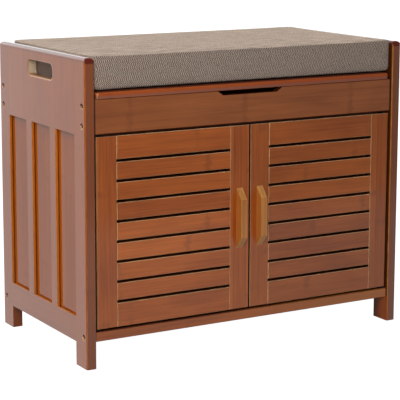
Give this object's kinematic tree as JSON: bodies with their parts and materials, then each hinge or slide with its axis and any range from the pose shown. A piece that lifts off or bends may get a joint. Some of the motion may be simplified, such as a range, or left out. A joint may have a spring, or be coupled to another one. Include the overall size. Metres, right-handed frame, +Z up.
{
  "type": "storage bench",
  "caption": "Varnished bamboo storage bench: framed panel sides with hand slots, a lift-up padded lid over a shallow compartment and a cupboard with louvred doors.",
  "frame": {"origin": "middle of the whole bench at floor level, handles included", "axes": "+X to the right as seen from the doors, +Y to the back, +Z up"},
  "size_m": [0.6, 0.3376, 0.495],
  "materials": {
    "bamboo": "carbonised bamboo strips under a glossy clear varnish",
    "bamboo_panel": "thin carbonised bamboo board under a glossy clear varnish",
    "handle_bamboo": "paler bamboo under a glossy clear varnish",
    "dowel_wood": "plain beech",
    "linen": "coarse flecked linen weave, grey beige",
    "grip_tape": "black hook and loop",
    "steel": "zinc-plated steel",
    "nylon": "black nylon"
  },
  "bodies": {
    "carcass": {"left_side_front_stile": "bamboo", "left_side_rear_stile": "bamboo", "left_side_top_board": "bamboo", "left_side_bottom_rail": "bamboo", "left_side_front_mullion": "bamboo", "left_side_rear_mullion": "bamboo", "left_side_front_panel": "bamboo_panel", "left_side_middle_panel": "bamboo_panel", "left_side_rear_panel": "bamboo_panel", "right_side_front_stile": "bamboo", "right_side_rear_stile": "bamboo", "right_side_top_board": "bamboo", "right_side_bottom_rail": "bamboo", "right_side_front_mullion": "bamboo", "right_side_rear_mullion": "bamboo", "right_side_front_panel": "bamboo_panel", "right_side_middle_panel": "bamboo_panel", "right_side_rear_panel": "bamboo_panel", "front_apron": "bamboo", "rear_top_rail": "bamboo", "door_stop_rail": "bamboo", "rear_floor_cleat": "bamboo", "compartment_floor": "bamboo", "middle_shelf": "bamboo", "bottom_board": "bamboo", "front_bottom_rail": "bamboo", "rear_bottom_rail": "bamboo", "back_panel": "bamboo_panel", "rail_dowels": "dowel_wood", "side_bolts": "steel", "barrel_nuts": "steel", "shelf_pins": "steel", "door_magnets": "steel", "hinge_rail_leaves": "steel", "hinge_pins": "steel", "hinge_rail_screws": "steel", "pivot_bushes": "nylon"},
    "lid": {"lid_board": "bamboo", "cushion": "linen", "cushion_grip_strips": "grip_tape", "hinge_lid_leaves": "steel", "hinge_lid_screws": "steel"},
    "left_door": {"left_door_outer_stile": "bamboo", "left_door_inner_stile": "bamboo", "left_door_top_rail": "bamboo", "left_door_bottom_rail": "bamboo", "left_door_slats": "bamboo", "left_door_handle": "handle_bamboo", "left_door_handle_screws": "steel", "left_door_pivot_pins": "steel", "left_door_catch_plate": "steel"},
    "right_door": {"right_door_outer_stile": "bamboo", "right_door_inner_stile": "bamboo", "right_door_top_rail": "bamboo", "right_door_bottom_rail": "bamboo", "right_door_slats": "bamboo", "right_door_handle": "handle_bamboo", "right_door_handle_screws": "steel", "right_door_pivot_pins": "steel", "right_door_catch_plate": "steel"}
  },
  "joints": [
    {"name": "lid_hinge", "type": "hinge", "parent": "carcass", "child": "lid", "pos_m": [0, 0.16565, 0.4249], "axis": [-1, 0, 0], "range_deg": [0, 95]},
    {"name": "left_door_hinge", "type": "hinge", "parent": "carcass", "child": "left_door", "pos_m": [-0.273, -0.14525, 0.2147], "axis": [0, 0, -1], "range_deg": [0, 100]},
    {"name": "right_door_hinge", "type": "hinge", "parent": "carcass", "child": "right_door", "pos_m": [0.273, -0.14525, 0.2147], "axis": [0, 0, 1], "range_deg": [0, 100]}
  ]
}
